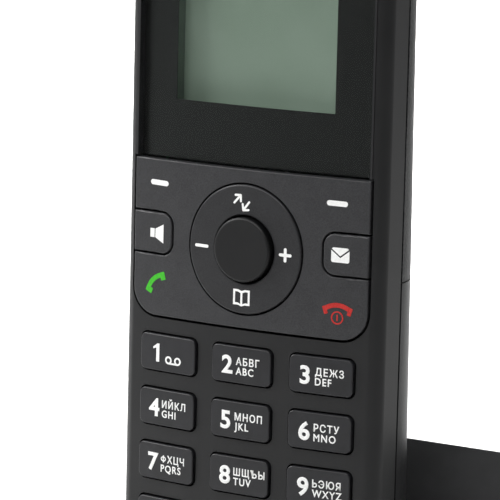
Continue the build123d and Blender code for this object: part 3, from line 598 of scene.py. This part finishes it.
layOnCap([oneShape(one)] + voicemailShapes(voicemail), "key_1_legend", "key_1", "whiteInk",
         keyCentre("key_1"))

signs = {"stroke": 0.5, "arm": 1.25, "hashGap": 0.95, "middle": (-2.1, 0.0)}


def starShapes(look):
    x, y = look["middle"]
    arms = []
    for turn in (90, 30, 150):
        c, s = math.cos(math.radians(turn)) * look["arm"], math.sin(math.radians(turn)) * look["arm"]
        arms.append(shapeFrom(bar((x - c, y - s), (x + c, y + s), look["stroke"])))
    return arms


def hashShapes(look):
    x, y = look["middle"]
    gap, arm = look["hashGap"] / 2, look["arm"]
    lines = [((x + s * gap - 0.15, y - arm), (x + s * gap + 0.15, y + arm)) for s in (-1, 1)]
    lines += [((x - arm, y + s * gap), (x + arm, y + s * gap)) for s in (-1, 1)]
    return [shapeFrom(bar(a, b, look["stroke"] * 0.8)) for a, b in lines]


layOnCap(starShapes(signs), "key_star_legend", "key_star", "whiteInk", keyCentre("key_star"))
layOnCap(hashShapes(signs), "key_hash_legend", "key_hash", "whiteInk", keyCentre("key_hash"))
print("stage: legends on the number keys")

# Marks on the function plate, its two side keys and the ring, in the face's own millimetres
dashes = {"width": 0.85, "ends": [((-18.27, 9.03), (-15.5, 8.98)), ((14.98, 8.9), (17.72, 8.88))]}
layOnCap([shapeFrom(bar(start, end, dashes["width"])) for start, end in dashes["ends"]],
         "soft_key_dashes", "function_plate", "whiteInk", (0, 0))

speaker = {"middle": 0.75, "box": (-18.55, -17.68, 0.72), "cone": (-17.5, -15.85, 0.7, 1.55)}


def speakerShapes(look):
    # a small box and a cone opening to the right
    x0, x1, h = look["box"]
    c0, c1, narrow, wide = look["cone"]
    y = look["middle"]
    body = [(x0, y - h), (x1, y - h), (x1, y + h), (x0, y + h)]
    cone = [(c0, y - narrow), (c1, y - wide), (c1, y + wide), (c0, y + narrow)]
    return [shapeFrom(body), shapeFrom(cone)]


layOnCap(speakerShapes(speaker), "speaker_mark", "speaker_key", "whiteInk", (0, 0))

envelope = {"centre": (17.15, 0.78), "width": 3.1, "height": 2.35, "corner": 0.3, "flap": 0.2, "drop": 0.35}


def envelopeShapes(look):
    # a filled envelope cut by the line of its flap
    cx, cy = look["centre"]
    w, h, r, f = look["width"] / 2, look["height"] / 2, look["corner"], look["flap"]
    tip = cy - look["drop"]
    lid = [(cx - w + r, cy + h), (cx - w + 0.1, cy + h - f), (cx, tip + f), (cx + w - 0.1, cy + h - f),
           (cx + w - r, cy + h)]
    body = arc((cx - w + r, cy - h + r), r, 180, 270, 5) + arc((cx + w - r, cy - h + r), r, 270, 360, 5)
    body += [(cx + w, cy + h - 2.2 * f), (cx, tip - f / 2), (cx - w, cy + h - 2.2 * f)]
    return [shapeFrom(lid), shapeFrom(body)]


layOnCap(envelopeShapes(envelope), "message_mark", "message_key", "whiteInk", (0, 0))

call = {"centre": (-15.3, -9.6), "radius": 3.7, "width": 0.8, "from": 108, "to": 155,
        "capWidth": 1.3, "capLength": 0.95, "capTurn": 0}


def callShapes(look):
    # a handset outline: a curved grip with a block at each end
    cx, cy = look["centre"]
    grip = band(arc(look["centre"], look["radius"], look["from"], look["to"], 14), look["width"])
    shapes = [shapeFrom(grip)]
    for angle, out in ((look["from"], -1), (look["to"], 1)):
        a = math.radians(angle)
        r = look["radius"] - look["capWidth"] / 2 + look["width"] / 2
        lean = a - out * math.radians(look["capTurn"])
        along = (-math.sin(lean) * out, math.cos(lean) * out)
        mid = (cx + r * math.cos(a) + along[0] * look["capLength"] / 2,
               cy + r * math.sin(a) + along[1] * look["capLength"] / 2)
        block = roundBox(look["capWidth"], look["capLength"], 0.12)
        shapes.append(shapeFrom(turned(block, math.degrees(lean), mid)))
    return shapes


layOnCap(callShapes(call), "call_mark", "function_plate", "greenInk", (0, 0))

hangUp = {"centre": (16.85, -10.9), "radius": 3.7, "width": 0.74, "from": 58, "to": 122,
          "capWidth": 1.3, "capLength": 0.65, "capTurn": 14}
power = {"centre": (16.85, -9.21), "radius": 0.95, "line": 0.22, "bar": 0.4}


def powerShapes(look):
    x, y = look["centre"]
    r, line = look["radius"], look["line"]
    ring = shapeFrom(arc((x, y), r + line / 2, 0, 360, 28)[:-1], arc((x, y), r - line / 2, 0, 360, 28)[:-1])
    return [ring, shapeFrom(bar((x, y - look["bar"]), (x, y + look["bar"]), line))]


layOnCap(callShapes(hangUp) + powerShapes(power), "end_mark", "function_plate", "redInk", (0, 0))

arrow = {
    "line": 0.36, "head": 0.98,
    "pair": [((-1.92, 7.4), (-0.75, 8.68)), ((0.84, 7.67), (-0.25, 6.3))],  # tail and tip of each
}


def arrowShapes(look):
    # two arrows side by side, each a shaft and two short strokes back from its tip
    strokes = []
    for tail, tip in look["pair"]:
        turn = math.atan2(tip[1] - tail[1], tip[0] - tail[0])
        strokes.append((tail, tip))
        for side in (-1, 1):
            a = turn + math.pi + side * math.radians(45)
            strokes.append((tip, (tip[0] + look["head"] * math.cos(a), tip[1] + look["head"] * math.sin(a))))
    return [shapeFrom(bar(a, b, look["line"])) for a, b in strokes]


volume = {"line": 0.5, "minus": ((-9.05, -0.2), (-6.95, -0.2)), "plus": (7.62, -0.13), "arm": 0.9}


def volumeShapes(look):
    x, y = look["plus"]
    strokes = [look["minus"], ((x - look["arm"], y), (x + look["arm"], y)),
               ((x, y - look["arm"]), (x, y + look["arm"]))]
    return [shapeFrom(bar(a, b, look["line"])) for a, b in strokes]


book = {"centre": (-0.2, -7.72), "width": 3.1, "height": 2.5, "line": 0.36, "dip": 0.22}


def bookShapes(look):
    # an open book: two page frames that meet in a spine
    cx, cy = look["centre"]
    w, h, line, dip = look["width"] / 2, look["height"] / 2, look["line"], look["dip"]
    pages = []
    for s in (-1, 1):
        rim = [(cx, cy + h - dip), (cx + s * w * 0.4, cy + h), (cx + s * w, cy + h), (cx + s * w, cy - h),
               (cx + s * w * 0.4, cy - h), (cx, cy - h - dip)]
        inner = [(cx + s * line / 2, cy + h - dip - line), (cx + s * w * 0.45, cy + h - line),
                 (cx + s * (w - line), cy + h - line), (cx + s * (w - line), cy - h + line),
                 (cx + s * w * 0.45, cy - h + line), (cx + s * line / 2, cy - h + line - dip)]
        pages.append(shapeFrom(rim, inner))
    return pages


layOnCap(arrowShapes(arrow) + volumeShapes(volume) + bookShapes(book), "ring_marks", "nav_ring",
         "whiteInk", (0, 0))
print("stage: marks on the plate and the ring")

# The camera, set in the handset's own frame
view = {
    "turn": 31.66, "down": 9.28, "roll": 1.38,  # degrees
    "distance": 541.5, "aimX": 0.91, "aimZ": -0.02,  # mm
    "lens": 245.66, "sensor": 36,
}


def cameraMatrix():
    a, p, r = (math.radians(view[k]) for k in ("turn", "down", "roll"))
    right = Vector((math.cos(a), math.sin(a), 0))
    forward = Vector((-math.sin(a) * math.cos(p), math.cos(a) * math.cos(p), -math.sin(p)))
    up = right.cross(forward)
    rolledRight = right * math.cos(r) + up * math.sin(r)
    rolledUp = up * math.cos(r) - right * math.sin(r)
    place = (Vector((view["aimX"], 0, view["aimZ"])) - forward * view["distance"]) * mm
    turn = Matrix((rolledRight, rolledUp, -forward)).transposed().to_4x4()
    return toWorld @ Matrix.Translation(place) @ turn


cameraData = bpy.data.cameras.new("camera")
cameraData.sensor_width = view["sensor"]
cameraData.lens = view["lens"]
cameraData.clip_start = 0.01
camera = bpy.data.objects.new("camera", cameraData)
camera.matrix_world = cameraMatrix()
bpy.context.scene.collection.objects.link(camera)
bpy.context.scene.camera = camera
bpy.context.scene.view_settings.view_transform = "Standard"

# Soft studio: a dome that is dim in front and bright behind, and boxes of light; sizes in m, power in W
studio = {
    "dome": "#f7f8f9", "dimmest": 0.08, "brightest": 0.6,
    "brightWay": (-0.75, 0.55, 0.35),  # towards the dome's bright side
    "floor": "#f6f6f5", "floorReach": 6.0, "aim": (0, 0, 0.08),
    "lamps": {  # place, size, power, spread in degrees
        "leftBox": ((-0.55, -0.25, 0.5), (0.35, 0.35), 0.85, 80),
        "topBox": ((0.05, -0.42, 0.62), (0.4, 0.3), 0.45, 80),
    },
    "floorLamp": ((-0.65, 0.6, 0.8), (0.9, 0.9), 18.0, 80),
}
world = bpy.data.worlds.new("softDome")
world.use_nodes = True
dome = world.node_tree
direction = addNode(dome, "ShaderNodeTexCoord").outputs["Generated"]
bright = Vector(studio["brightWay"]).normalized()
share = addNode(dome, "ShaderNodeVectorMath", {"operation": "DOT_PRODUCT", 1: bright}, {0: direction})
level = addNode(dome, "ShaderNodeMapRange", {
    "From Min": -1.0, "From Max": 1.0, "To Min": studio["dimmest"], "To Max": studio["brightest"]},
    {"Value": share.outputs["Value"]})
background = dome.nodes["Background"]
background.inputs["Color"].default_value = hexToLinear(studio["dome"])
dome.links.new(level.outputs["Result"], background.inputs["Strength"])
bpy.context.scene.world = world


def addLamp(name, place, size, power, spread, aim):
    data = bpy.data.lights.new(name, "AREA")
    data.shape = "RECTANGLE"
    data.size, data.size_y = size
    data.energy = power
    data.spread = math.radians(spread)
    lamp = bpy.data.objects.new(name, data)
    lamp.location = place
    lamp.rotation_euler = (Vector(aim) - Vector(place)).to_track_quat("-Z", "Y").to_euler()
    bpy.context.scene.collection.objects.link(lamp)


for name, (place, size, power, spread) in studio["lamps"].items():
    addLamp(name, place, size, power, spread, studio["aim"])
place, size, power, spread = studio["floorLamp"]
addLamp("floorLamp", place, size, power, spread, (place[0], place[1], 0))

floorMesh = bpy.data.meshes.new("floor")
reach = studio["floorReach"]
floorMesh.from_pydata([(-reach, -reach, 0), (reach, -reach, 0), (reach, reach, 0), (-reach, reach, 0)], [],
                      [(0, 1, 2, 3)])
floor = bpy.data.objects.new("floor", floorMesh)
bpy.context.scene.collection.objects.link(floor)
floorMaterial, floorTree = newMaterial("paleFloor")
floorShader = addNode(floorTree, "ShaderNodeBsdfPrincipled",
                      {"Base Color": hexToLinear(studio["floor"]), "Roughness": 0.8})
floorMesh.materials.append(finishMaterial(floorMaterial, floorTree, floorShader.outputs["BSDF"]))
print("stage: camera, light and floor")
